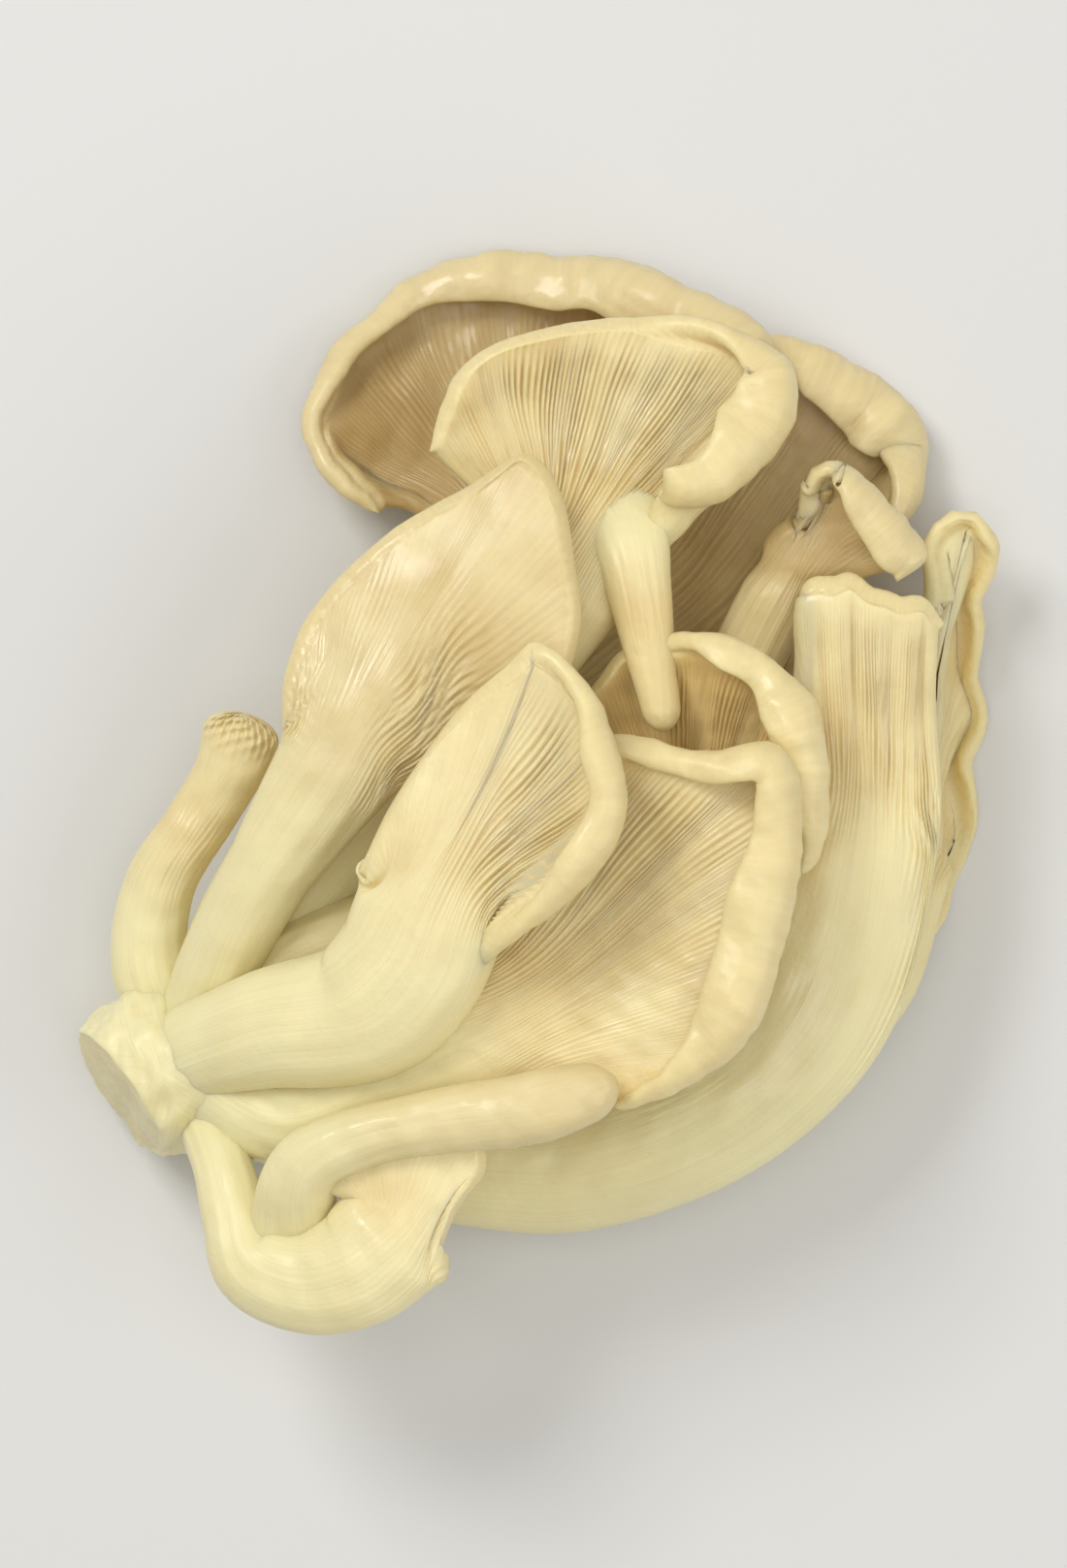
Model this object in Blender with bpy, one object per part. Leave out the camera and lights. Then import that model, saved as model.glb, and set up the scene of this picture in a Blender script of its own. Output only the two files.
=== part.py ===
"""Oyster mushroom cluster: overlapping fan caps on stems that grow from one base.

Units are millimetres in the tables and metres in the mesh.  +Z is up, the
gill side of every cap faces up, and the cluster lies on its back on z = 0.
"""
from dataclasses import dataclass
from math import pi

import bmesh
import bpy
import numpy as np

NAME = "oyster_cluster"
MM = 0.001

# Rows of points along one fruiting body.
STEM_ROWS = 7
CAP_ROWS = 8
ROLL_ROWS = 5
KEEP = 0.60              # share of the triangles kept where the flesh is smooth
TIP = 0.93                # where the round tip of a body without a cap begins
UNEVEN = 0.08             # how much the radius of a rolled margin varies
GILL_COLUMNS = 2          # columns of points for one gill
GILL_DEPTH = 0.9          # mm from the edge of a gill to the groove beside it
LUMP = 0.45               # mm, soft unevenness of the flesh
EDGE_POWER = 14.0         # how late the flesh thins towards the side edges

# Base block at the foot of the stems.
BASE_CENTRE = (-37.0, -29.5, 11.0)
BASE_RADII = (9.5, 8.5, 12.5)
BASE_CUT = (-0.80, -0.55, 0.25)     # outward direction of the knife cut
BASE_CUT_AT = 5.6                   # mm from the centre to the cut
BASE_FLOOR = 0.0

# Moves the middle of the footprint to the origin.
SHIFT = (-0.297, 0.638)


@dataclass(frozen=True)
class Mushroom:
    """One fruiting body: a stem line, the outer line of its cap and its flesh."""

    name: str
    stem: tuple                 # centre line of the stem, foot to throat
    widths: tuple               # half widths along the stem
    heights: tuple              # half thicknesses along the stem
    rim: tuple = ()             # outer line of the cap, left to right; none ends in a tip
    roll: tuple = (1.8,)        # radius of the rolled margin, left to right
    curl: tuple = (60.0, 60.0)  # degrees of roll, left to right
    flap: tuple = (0.0,)        # straight length after the roll, left to right
    flesh: float = 2.6          # thickness of the cap near the margin
    dish: tuple = (2.0,)        # sag of the cap under the line to the rim
    lead: float = 0.35          # how far the cap follows the stem's direction
    reach: float = 0.45         # how far in the margin's direction is felt
    gills: int = 12
    depth: tuple = (1.0, 1.0)   # strength of the gills, left to right
    start: float = 0.6          # row value where the gills begin on the stem
    wave: tuple = (0.0, 3.0, 0.0)   # height, waves and phase along the rim
    ragged: tuple = (0.0,)      # mm of tearing along the margin
    bends: int = 0              # extra rows for a stem that bends a lot
    seed: int = 1


MUSHROOMS = (
    Mushroom("far_cap",
             stem=((-34, -27, 9), (-22, -6, 8), (-10, 10, 7), (-4, 20, 7)),
             widths=(5, 5, 7), heights=(4.5, 4, 3.5),
             rim=((-17, 25, 8), (-20.5, 28, 8), (-23.8, 35.8, 6), (-20.6, 43.5, 3),
                  (-14.6, 50.3, 0.6), (-6, 53.7, 0.4), (5.5, 54.6, 0.6), (15, 51.2, 4),
                  (22.5, 47.2, 8), (26.2, 43.6, 11)),
             roll=(1.0, 1.4, 2.0, 2.4, 2.4), curl=(60, 150, 170, 175, 175),
             flap=(0, 0.5, 1, 2.6, 3.4, 2), dish=(3,), gills=16,
             depth=(0.9, 0.35, 0.12, 0.25, 0.4), ragged=(0.4, 0.5, 0.3, 0.3), seed=3),
    Mushroom("upper_fan",
             stem=((-34, -27, 12), (-20, -8, 15), (-6, 8, 16), (2, 20, 18)),
             widths=(4.5, 4.5, 6, 8), heights=(4.5, 4, 4),
             rim=((-11, 33, 19.5), (-7.8, 41.2, 20), (-2.4, 44.9, 20), (9.7, 47.3, 19),
                  (20, 46, 19), (26.4, 41.5, 19), (26.8, 35.2, 20), (22.5, 29.2, 21),
                  (17, 26, 22), (13, 25.5, 22.5)),
             roll=(1, 1, 1.2, 2.4, 2.5, 1.8), curl=(20, 15, 25, 130, 165, 100),
             flap=(0, 0, 0, 1.8, 3.6, 1.0), flesh=2.8, dish=(3,), gills=18,
             depth=(0.8, 1.3, 1.4, 1.0, 0.3), start=0.9, seed=5),
    Mushroom("tongue",
             stem=((6.5, 31, 12), (8.3, 27.5, 17), (10, 23, 20.4), (11, 18, 22),
                   (12, 12, 22.8), (12.8, 8, 23), (13.4, 4.6, 23.2)),
             widths=(4.6, 4.8, 4.4, 3.4, 2.8, 2.2, 1.8), heights=(2, 2.4, 2.5, 2.3, 2.1, 1.7),
             gills=4, depth=(0.1,), seed=6),
    Mushroom("back_cap",
             stem=((-32, -28, 8), (-16, -14, 6), (0, 0, 6), (12, 10, 6)),
             widths=(5, 6, 12), heights=(4.5, 3.5, 3.2),
             rim=((20.5, 45.4, 5), (25.5, 46.3, 4), (30.6, 44.4, 2.8), (35.4, 41.6, 1.6),
                  (39.5, 37.8, 1.2), (41.3, 33, 1.4), (40.2, 27.8, 4), (37.6, 23.5, 6)),
             roll=(1.6, 2.2, 2.4, 2.2, 1.4), curl=(120, 165, 175, 165, 100),
             flap=(0.5, 3, 4, 3, 0.3), flesh=3.0, dish=(2,), gills=12,
             depth=(0.4, 0.4), seed=7),
    Mushroom("upright",
             stem=((-30, -30, 9), (-10, -15, 8), (10, -2, 9), (19.4, 8.1, 11), (25, 18, 14)),
             widths=(4, 4, 3.5, 3.9), heights=(4, 3.5, 3.2),
             rim=((25.5, 26, 16), (28, 31.5, 18), (31.5, 32, 18.5), (36, 28.5, 18.5),
                  (40.8, 23.6, 17.5)),
             roll=(1.2, 1.9, 2.0, 1.8), curl=(40, 150, 175, 175), flap=(0, 0.5, 2, 2),
             flesh=2.4, dish=(0.5,), reach=0.25, gills=7, depth=(0.15, 0.15), seed=8),
    Mushroom("side_edge",
             stem=((0, -38, 7), (20, -33, 6), (34, -22, 6), (38, -10, 6)),
             widths=(4, 4.5, 5), heights=(4, 3.5, 3),
             rim=((36.5, 10, 8), (40.4, 23.6, 10), (44, 28.2, 10), (47.4, 25.6, 9),
                  (48, 17.8, 6), (47, 11, 2), (47.4, 6, 0.5), (45.9, -1.6, 0.4),
                  (44.4, -9.7, 0.5), (41.8, -17, 4)),
             roll=(1.0, 1.6, 1.6, 1.0), curl=(30, 130, 140, 60), flesh=2.4, dish=(1,),
             gills=8, depth=(0.25, 0.25), wave=(0.5, 5.0, 0.0), ragged=(0.9,), seed=9),
    Mushroom("long_fan",
             stem=((-33, -30, 9), (-18, -37, 10), (0, -39.5, 11), (11, -37.2, 12.5),
                   (20.5, -32, 14), (27.5, -24.5, 15), (30.8, -16, 15.3), (32.6, -7, 15.5)),
             widths=(5, 5.2, 6.2, 7.1, 7.4, 7.9, 8.7, 8.4),
             heights=(5, 5, 5, 5, 5, 4.8, 4.4, 3.8),
             rim=((25, 16.5, 18.5), (26.6, 20.3, 19), (31.6, 21.1, 19.5), (35.6, 20.2, 19.5),
                  (40, 19.4, 19), (42.8, 16.5, 18.5)),
             roll=(0.9,), curl=(30, 50, 60, 40), flesh=3.0, dish=(0,), gills=13,
             depth=(0.7, 1.0, 1.0, 0.8), start=0.92, bends=6, seed=11),
    Mushroom("inner_fan",
             stem=((-33, -28, 14), (-28, -20.5, 17), (-20, -16, 17), (-8, -15, 14),
                   (4, -15, 12.5), (13, -10.5, 14)),
             widths=(3.5, 3.6, 3.8, 4, 5, 6.5), heights=(3.5, 3.6, 3.8, 3.5, 3.5, 3.2),
             rim=((4.5, 9, 18.5), (8.5, 13.4, 20), (14, 15, 22.5), (19.4, 14.9, 24.5),
                  (25.1, 12.2, 25), (29.2, 6.5, 25), (30.1, -0.8, 24.5), (29.2, -9.7, 23)),
             roll=(0.8, 0.9, 1.9, 2.1, 1.9, 1.2), curl=(20, 20, 140, 165, 165, 90),
             flap=(0, 0, 1.2, 2, 1.2, 0), flesh=2.4, dish=(3,), gills=14, depth=(1.0, 1.2, 1.0),
             start=0.9, seed=13),
    Mushroom("lower_fan",
             stem=((-33, -30, 16), (-25, -33.5, 20), (-16.2, -31, 23), (-6.5, -26.7, 25)),
             widths=(5, 5.5, 6, 8), heights=(5, 5, 4.8, 4.4),
             rim=((-1, 1, 27), (4, 3.2, 28), (10, 4.6, 29), (17.8, 3.4, 29.5), (24.4, 2.6, 30),
                  (26.6, -5.5, 30), (24.8, -17, 30), (21.6, -26, 30), (15.4, -31.2, 29),
                  (8.5, -33.6, 28)),
             roll=(1.0, 1.8, 2.0, 2.4, 2.4, 1.4), curl=(60, 150, 150, 170, 170, 90),
             flap=(0, 1, 1.5, 3, 2.5, 0.3), flesh=2.8, dish=(2, 1, 0.5, 0.3), gills=16,
             depth=(1.2, 1.3, 1.0, 0.5, 0.3, 0.15), start=0.9, seed=17),
    Mushroom("mid_cap",
             stem=((-34, -27, 14), (-30.5, -17, 19), (-26, -9, 23), (-20, 0, 26)),
             widths=(4.5, 4.2, 4.4, 6), heights=(4, 4, 4, 3.6),
             rim=((-25.5, 4, 25), (-25.2, 10, 24.5), (-22.4, 17, 24), (-15, 24.6, 25),
                  (-7, 29.5, 26), (-0.5, 33.2, 27), (3.4, 29.5, 28), (5.2, 21.5, 28.5),
                  (5.4, 14, 28.5), (2.5, 6.5, 27.5), (-4.5, -0.5, 26.5)),
             roll=(1.2, 1.4, 1.0, 1.2, 1.0), curl=(40, 45, 25, 35, 20), flesh=2.8,
             dish=(0, -1.5, -1.5, 0), gills=12, depth=(0.15, 0.08, 0.06, 0.1, 0.1), seed=19),
    Mushroom("front_cap",
             stem=((-36, -28.5, 15), (-26, -25, 24), (-16.5, -23, 29), (-12, -18.5, 31.5),
                   (-10, -14, 32.5)),
             widths=(5, 5.4, 6.5, 7.5, 7.6), heights=(5, 5.2, 5.4, 5.2, 4.6),
             rim=((-18, -9, 33.5), (-14.5, -2, 34), (-8.8, 6, 35), (-3, 11.8, 36),
                  (0.2, 14.3, 36.5), (4.2, 12.2, 37), (8, 5.5, 37), (9.9, -2.4, 37),
                  (6.5, -9.8, 36.5), (0, -16, 35), (-5, -20, 33)),
             roll=(1.2, 1.2, 1.3, 1.7, 1.8, 1.0), curl=(20, 15, 60, 160, 160, 15),
             flap=(0, 0, 0, 1.2, 1.2, 0), flesh=2.8, dish=(-1.5, -1.5, 1, 2, 1.5), gills=14,
             depth=(0, 0.05, 0.1, 0.9, 1.3, 1.0, 0.5), start=0.9, seed=23),
    Mushroom("small_stub",
             stem=((-35.5, -26, 11), (-38.6, -19, 12.5), (-37.6, -11, 14), (-33.4, -4.2, 15.5),
                   (-30.2, 1.2, 17), (-28.6, 6.4, 18.5)),
             widths=(4, 4.0, 3.7, 3.3, 3.4, 4.2), heights=(3.6, 3.4, 3.2, 3, 2.8, 2.4),
             gills=6, depth=(0.2,), seed=29),
    Mushroom("folded_cap",
             stem=((-35, -30, 14), (-31.2, -38, 20.5), (-29.3, -44, 23), (-27.4, -48.6, 25),
                   (-22, -50, 26.5), (-17, -48.4, 28), (-14, -45.8, 28.5)),
             widths=(3, 2.9, 3, 3.6, 4.8, 5.8, 6.4), heights=(3, 3, 3, 3.6, 4, 4, 3.6),
             rim=((-25, -40, 28.5), (-20, -35.5, 29.5), (-12, -33.5, 30), (-5, -34, 30),
                  (-3.5, -38.5, 30), (-6.5, -43.5, 29.5), (-8.6, -49, 28.5)),
             roll=(1.2, 1.2, 1.0, 0.9, 0.8), curl=(20, 20, 20, 20, 15, 10), flesh=2.6,
             dish=(0,), gills=9, depth=(0.1, 0.2, 0.3, 0.6), bends=5, seed=31),
    Mushroom("fold",
             stem=((-22.5, -47.5, 21), (-23.4, -43, 26), (-22, -38.2, 29.4), (-17, -35.6, 31),
                   (-8.9, -33.8, 32), (-0.6, -32.6, 32.8), (8.6, -30, 33)),
             widths=(5, 4.2, 3.2, 3.0, 3.4, 3.6, 2.6), heights=(2.4, 2.8, 3, 2.9, 3, 3, 2.3),
             gills=5, depth=(0,), seed=37),
)


def unit(v):
    """Give vectors of length one."""
    return v / np.maximum(np.linalg.norm(v, axis=-1, keepdims=True), 1e-12)


def curve(points, t):
    """Point of a smooth line through the points, t from 0 to 1 by distance."""
    p = np.asarray(points, float)
    n = len(p)
    k = np.concatenate([[0.0], np.cumsum(np.linalg.norm(np.diff(p, axis=0), axis=1))])
    k /= k[-1]
    i = np.clip(np.searchsorted(k, t, side="right") - 1, 0, n - 2)
    before = np.maximum(np.arange(n) - 1, 0)
    after = np.minimum(np.arange(n) + 1, n - 1)
    m = (p[after] - p[before]) / (k[after] - k[before])[:, None]
    h = (k[i + 1] - k[i])[..., None]
    u = (t - k[i])[..., None] / h
    return ((2 * u**3 - 3 * u**2 + 1) * p[i] + (u**3 - 2 * u**2 + u) * h * m[i]
            + (-2 * u**3 + 3 * u**2) * p[i + 1] + (u**3 - u**2) * h * m[i + 1])


def slope(points, t):
    """Direction of the same line."""
    lo, hi = np.clip(t - 0.01, 0, 1), np.clip(t + 0.01, 0, 1)
    return unit(curve(points, hi) - curve(points, lo))


def ramp(values, t):
    """Evenly spaced values read at t from 0 to 1."""
    return np.interp(t, np.linspace(0, 1, len(values)), values) if len(values) > 1 \
        else np.full_like(t, float(values[0]))


def ease(x, a, b):
    """Smooth step from a to b."""
    u = np.clip((x - a) / (b - a), 0, 1)
    return u * u * (3 - 2 * u)


def lumps(p, seed, size):
    """Soft unevenness of the flesh at points p, in mm."""
    rng = np.random.default_rng(seed)
    out = np.zeros(p.shape[:-1])
    for _ in range(5):
        k = rng.normal(size=3) * 0.17
        out += np.sin(p @ k + rng.uniform(0, 2 * pi)) * size * 0.5
    return out


def even(v):
    """Vectors along a margin evened out, so that its roll keeps a steady direction."""
    for _ in range(2):
        padded = np.pad(v, ((1, 1), (0, 0)), mode="edge")
        v = (padded[2:] + padded[1:-1] + padded[:-2]) / 3
    return v


def tears(m, q):
    """Uneven run of the margin, about -1 to 1, along it from 0 to 1."""
    rng = np.random.default_rng(m.seed + 100)
    tear = np.zeros(len(q))
    for k in range(4):
        tear += np.sin(q * (9 + 11 * k) + rng.uniform(0, 6.3)) / (1 + 0.4 * k)
    return tear


def along_finger(s):
    """Places along a body without a cap, closer together at its tip."""
    return np.sin(s / 3 * pi / 2)


def rounded(t):
    """Share of its width that a body without a cap keeps at t."""
    return np.sqrt(np.maximum(1 - np.clip((t - TIP) / (1 - TIP), 0, 1)**2, 1e-4))


def finger(m, c, s):
    """Middle surface of a body that has no cap and ends in a round tip."""
    t = along_finger(s)
    along = slope(m.stem, t)
    side = np.cross(along, unit(np.array([0, 0, 1.0]) - along * along[:, 2:3]))
    wide = (ramp(m.widths, t) * rounded(t))[:, None] * np.sin(c * pi / 2)
    return curve(m.stem, t)[:, None] + side[:, None] * wide[..., None]


def middle(m, c, s):
    """Middle surface of a fruiting body on the grid rows s by columns c."""
    cc, ss = np.meshgrid(c, s)
    if not m.rim:
        return finger(m, c, s), cc, ss
    t = np.clip(s, 0, 1)
    spine, along = curve(m.stem, t), slope(m.stem, t)
    up = unit(np.array([0, 0, 1.0]) - along * along[:, 2:3])
    side = np.cross(along, up)
    blend = ease(ss, 0.75, 1.35)
    across = np.sin(cc * pi / 2) * (1 - blend) + cc * blend
    stem = spine[:, None] + side[:, None] * (across * ramp(m.widths, t)[:, None])[..., None]

    q = (c + 1) / 2
    rim, rim_dir = curve(m.rim, q), slope(m.rim, q)
    throat = curve(m.stem, np.ones(1))[0]
    throat_dir = slope(m.stem, np.ones(1))[0]
    t_up = unit(np.array([0, 0, 1.0]) - throat_dir * throat_dir[2])
    t_side = np.cross(throat_dir, t_up)
    root = throat + t_side * (across * m.widths[-1])[..., None]
    chord = rim - (throat + t_side * (c * m.widths[-1])[:, None])
    length = np.linalg.norm(chord, axis=-1, keepdims=True)
    out = unit(even(np.cross(t_up, rim_dir)))
    face = unit(np.cross(rim_dir, out))
    curl = np.radians(ramp(m.curl, q))[:, None]
    tear = tears(m, q)
    roll = (ramp(m.roll, q) * (1 + UNEVEN * tear))[:, None]
    end = rim - out * (roll * np.sin(np.minimum(curl, pi / 2)) + 0.4 * m.flesh)
    end = end - out * (ramp(m.ragged, q) * (0.8 + 0.8 * tear))[:, None]
    u = np.clip(ss - 1, 0, 1)[..., None]
    k1 = root + throat_dir * (m.lead * length)
    k2 = end - chord * m.reach - face * ramp(m.dish, q)[:, None]
    cap = (1 - u)**3 * root + 3 * (1 - u)**2 * u * k1 + 3 * (1 - u) * u**2 * k2 + u**3 * end
    high, count, phase = m.wave
    cap = cap + face * (high * u**2 * np.sin(count * pi * cc + phase)[..., None])

    mid = np.where((ss <= 1)[..., None], stem, cap)
    last = int(np.searchsorted(s, 2.0))
    rolled = s > 2.0
    edge = mid[last]
    inward = unit(edge - mid[last - 1]) + out
    along_rim = unit(np.gradient(edge, axis=0))
    normal = unit(even(np.cross(along_rim, inward)))
    ahead = unit(even(np.cross(normal, along_rim)))
    arc = roll * curl
    gone = (s[rolled] - 2)[:, None, None] * (arc + ramp(m.flap, q)[:, None])
    a = np.minimum(gone, arc) / roll
    rest = np.maximum(gone - arc, 0)
    mid[rolled] = (edge + ahead * (roll * np.sin(a) + rest * np.cos(a))
                   + normal * (roll * (1 - np.cos(a)) + rest * np.sin(a)))
    return mid, cc, ss


def half_thickness(m, cc, ss):
    """Half the thickness of the flesh on the grid, before the gills."""
    if not m.rim:
        t = along_finger(ss)
        return ramp(m.heights, t) * rounded(t) * np.cos(cc * pi / 2)
    u = np.clip(ss - 1, 0, 1)
    thin = m.flesh / 2 + (m.heights[-1] - m.flesh / 2) * (1 - u)**2.5
    half = np.where(ss <= 1, ramp(m.heights, np.clip(ss, 0, 1)), thin)
    tip = np.clip(ss - 2, 0, 1)
    half = half * np.sqrt(np.maximum(1 - tip**6, 0)) * (1 - 0.25 * tip)
    blend = ease(ss, 0.75, 1.6)
    plate = np.sqrt(np.maximum(1 - np.abs(cc)**EDGE_POWER, 0))
    return half * (np.cos(cc * pi / 2) * (1 - blend) + plate * blend)


def sides(m, c, s, gills):
    """Gill side and back of a fruiting body as two grids of points."""
    mid, cc, ss = middle(m, c, s)
    normal = unit(np.cross(np.gradient(mid, axis=1), np.gradient(mid, axis=0)))
    half = half_thickness(m, cc, ss)
    groove = 0.5 - 0.5 * np.cos(pi * (cc + 1) * gills)
    zone = ease(ss, m.start, m.start + 0.6) * (1 - ease(ss, 1.86, 2.04)) * (1 - np.abs(cc)**10)
    cut = groove * zone * ramp(m.depth, (cc + 1) / 2) * GILL_DEPTH
    bump = lumps(mid, m.seed, LUMP)
    front = mid + normal * (half - cut * np.minimum(1, half) + bump)[..., None]
    back = mid + normal * (bump - half)[..., None]
    front[..., 2] = np.maximum(front[..., 2], 0.7)
    back[..., 2] = np.maximum(back[..., 2], 0.0)
    return front, back


def rows(m):
    """Row values: stem 0 to 1, cap 1 to 2, rolled margin 2 to 3."""
    return np.concatenate([np.linspace(0, 1, STEM_ROWS + m.bends, endpoint=False),
                           np.linspace(1, 2, CAP_ROWS, endpoint=False),
                           np.linspace(2, 3, ROLL_ROWS + 1)])


def body_mesh(m):
    """Closed mesh of one fruiting body."""
    s = rows(m)
    step = 4
    n = int(np.ceil(GILL_COLUMNS * m.gills / step)) * step
    gills = n / GILL_COLUMNS
    c = np.linspace(-1, 1, n + 1)
    front, back = sides(m, c, s, gills)
    last = len(s) - 1
    bm = bmesh.new()
    f = [[bm.verts.new(p * MM) for p in row] for row in front]
    b = []
    for i in range(last):
        inner = [bm.verts.new(back[i, k] * MM) for k in range(step, n, step)]
        b.append([f[i][0]] + inner + [f[i][n]])
    for i in range(last):
        for j in range(n):
            bm.faces.new((f[i][j], f[i][j + 1], f[i + 1][j + 1], f[i + 1][j]))
    for i in range(last - 1):
        for k in range(len(b[i]) - 1):
            bm.faces.new((b[i][k], b[i + 1][k], b[i + 1][k + 1], b[i][k + 1]))
    low = b[last - 1]
    for k in range(len(low) - 1):
        tip = f[last][k * step:(k + 1) * step + 1]
        half = len(tip) // 2
        for j in range(step):
            near = low[k] if j < half else low[k + 1]
            bm.faces.new((near, tip[j], tip[j + 1]))
        bm.faces.new((low[k], tip[half], low[k + 1]))
    foot = bm.verts.new(np.mean([front[0], back[0]], axis=(0, 1)) * MM)
    ring = f[0] + b[0][-2:0:-1]
    for k, v in enumerate(ring):
        bm.faces.new((v, foot, ring[(k + 1) % len(ring)]))
    bmesh.ops.triangulate(bm, faces=bm.faces)
    bmesh.ops.recalc_face_normals(bm, faces=bm.faces)
    if bm.calc_volume(signed=True) < 0:
        bmesh.ops.reverse_faces(bm, faces=bm.faces)
    mesh = bpy.data.meshes.new(m.name)
    bm.to_mesh(mesh)
    bm.free()
    obj = bpy.data.objects.new(m.name, mesh)
    fewer = obj.modifiers.new("fewer", "DECIMATE")
    fewer.ratio = KEEP
    return obj


def base_mesh():
    """Lumpy foot of the cluster with one knife-cut face and a flat underside."""
    bm = bmesh.new()
    bmesh.ops.create_icosphere(bm, subdivisions=3, radius=1.0)
    cut = unit(np.array(BASE_CUT))
    for v in bm.verts:
        p = np.array(v.co) * np.array(BASE_RADII)
        p = p * (1 + 0.05 * lumps(p * 1.6, 41, 1.0))
        over = p @ cut - BASE_CUT_AT
        if over > 0:
            p = p - cut * over * 0.96
        p = p + np.array(BASE_CENTRE)
        p[2] = max(p[2], BASE_FLOOR)
        v.co = p * MM
    mesh = bpy.data.meshes.new("base")
    bm.to_mesh(mesh)
    bm.free()
    return bpy.data.objects.new(NAME, mesh)


def flesh_material():
    """Pale cream mushroom flesh."""
    mat = bpy.data.materials.new("mushroom_flesh")
    mat.use_nodes = True
    shader = mat.node_tree.nodes["Principled BSDF"]
    shader.inputs["Base Color"].default_value = (0.78, 0.63, 0.35, 1.0)
    shader.inputs["Roughness"].default_value = 0.45
    return mat


def drop_scraps(obj):
    """Keep the largest closed piece: seals inner hollows and drops crumbs."""
    bm = bmesh.new()
    bm.from_mesh(obj.data)
    todo, groups = set(bm.verts), []
    while todo:
        stack, group = [todo.pop()], []
        while stack:
            v = stack.pop()
            group.append(v)
            for e in v.link_edges:
                w = e.other_vert(v)
                if w in todo:
                    todo.remove(w)
                    stack.append(w)
        groups.append(group)
    groups.sort(key=len, reverse=True)
    for group in groups[1:]:
        bmesh.ops.delete(bm, geom=group, context="VERTS")
    bm.to_mesh(obj.data)
    bm.free()
    return len(groups)


def build():
    """Make the cluster as one fused object."""
    for obj in list(bpy.data.objects):
        bpy.data.objects.remove(obj, do_unlink=True)
    home = bpy.data.collections.new("oyster_mushroom_cluster")
    bpy.context.scene.collection.children.link(home)
    members = bpy.data.collections.new("members")
    bpy.context.scene.collection.children.link(members)
    base = base_mesh()
    home.objects.link(base)
    for m in MUSHROOMS:
        members.objects.link(body_mesh(m))
    for obj in members.objects:
        bpy.context.view_layer.objects.active = obj
        bpy.ops.object.modifier_apply(modifier="fewer")
    union = base.modifiers.new("join", "BOOLEAN")
    union.operation = "UNION"
    union.operand_type = "COLLECTION"
    union.collection = members
    union.solver = "MANIFOLD"
    bpy.context.view_layer.objects.active = base
    base.select_set(True)
    bpy.ops.object.modifier_apply(modifier=union.name)
    for obj in list(members.objects):
        bpy.data.objects.remove(obj, do_unlink=True)
    bpy.data.collections.remove(members)
    drop_scraps(base)
    for v in base.data.vertices:
        v.co.x += SHIFT[0] * MM
        v.co.y += SHIFT[1] * MM
        v.co.z = max(v.co.z, 0.0)
    base.data.materials.clear()
    base.data.materials.append(flesh_material())
    return base


if __name__ == "__main__":
    build()
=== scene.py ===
"""Looks of the oyster mushroom cluster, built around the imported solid.

Every fruiting body is one closed skin: a grid that is wrapped round its stem,
spread into the cap and rolled in at the margin, with the gills raised on the
side that faces up.  Lengths in the tables are millimetres.
"""
import logging
from dataclasses import dataclass, field
from enum import Enum
from math import pi

import bmesh
import bpy
import numpy as np
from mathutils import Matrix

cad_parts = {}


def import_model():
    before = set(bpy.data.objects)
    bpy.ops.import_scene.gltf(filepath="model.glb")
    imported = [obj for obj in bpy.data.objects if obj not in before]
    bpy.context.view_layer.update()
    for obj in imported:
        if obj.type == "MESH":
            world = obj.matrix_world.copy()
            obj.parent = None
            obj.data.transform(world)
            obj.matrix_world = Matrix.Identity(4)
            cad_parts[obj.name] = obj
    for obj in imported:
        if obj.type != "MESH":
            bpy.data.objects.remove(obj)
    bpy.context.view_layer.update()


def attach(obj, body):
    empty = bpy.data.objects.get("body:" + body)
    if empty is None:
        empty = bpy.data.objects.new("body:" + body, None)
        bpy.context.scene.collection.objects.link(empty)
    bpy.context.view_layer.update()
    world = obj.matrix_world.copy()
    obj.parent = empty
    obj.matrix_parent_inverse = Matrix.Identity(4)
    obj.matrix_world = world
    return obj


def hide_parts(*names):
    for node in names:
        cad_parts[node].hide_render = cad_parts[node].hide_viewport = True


LOG = logging.getLogger("oyster_cluster")
MM = 0.001
NODE = "oyster_cluster"
SHIFT = np.array([-0.297, 0.638, 0.0])      # puts the middle of the footprint at the origin
MERGE = 2e-7                                # m, points closer than this are one point
FINE = 3                                    # real gills for each one in the table
TIP = 0.93                                  # where the round tip of a body without a cap begins
UNEVEN = 0.08                               # how much the radius of a rolled margin varies
EDGE_ROWS = 4                               # rows before the margin that give its direction
FLAT_CURL = (60.0, 120.0)                   # degrees of curl, from nearly flat to fully rolled
DEEPEST = 1.15                              # mm, deepest gap between two gills
CREASE = 0.08                               # mm, height of the lengthwise creases
FRONT_FLOOR = 0.7                           # mm, the gill side stays above this
BACK_FLOOR = 0.02                           # mm, and the back above this
Points = tuple[tuple[float, float, float], ...]
Values = tuple[float, ...]


class Finish(Enum):
    """How a body's flesh looks."""

    CREAM = "cream"         # pale stems and most gills
    GOLDEN = "golden"       # darker, warmer copy of the flesh for gills deep under the other caps: painted shade
    GREYISH = "greyish"     # duller, drier skin; on the fold it is also painted shade
    SHADED = "shaded"       # darker, browner copy of the flesh: painted shade on the caps at the back and under others


def unit(v: np.ndarray) -> np.ndarray:
    """Give vectors of length one."""
    return v / np.maximum(np.linalg.norm(v, axis=-1, keepdims=True), 1e-12)


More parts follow.
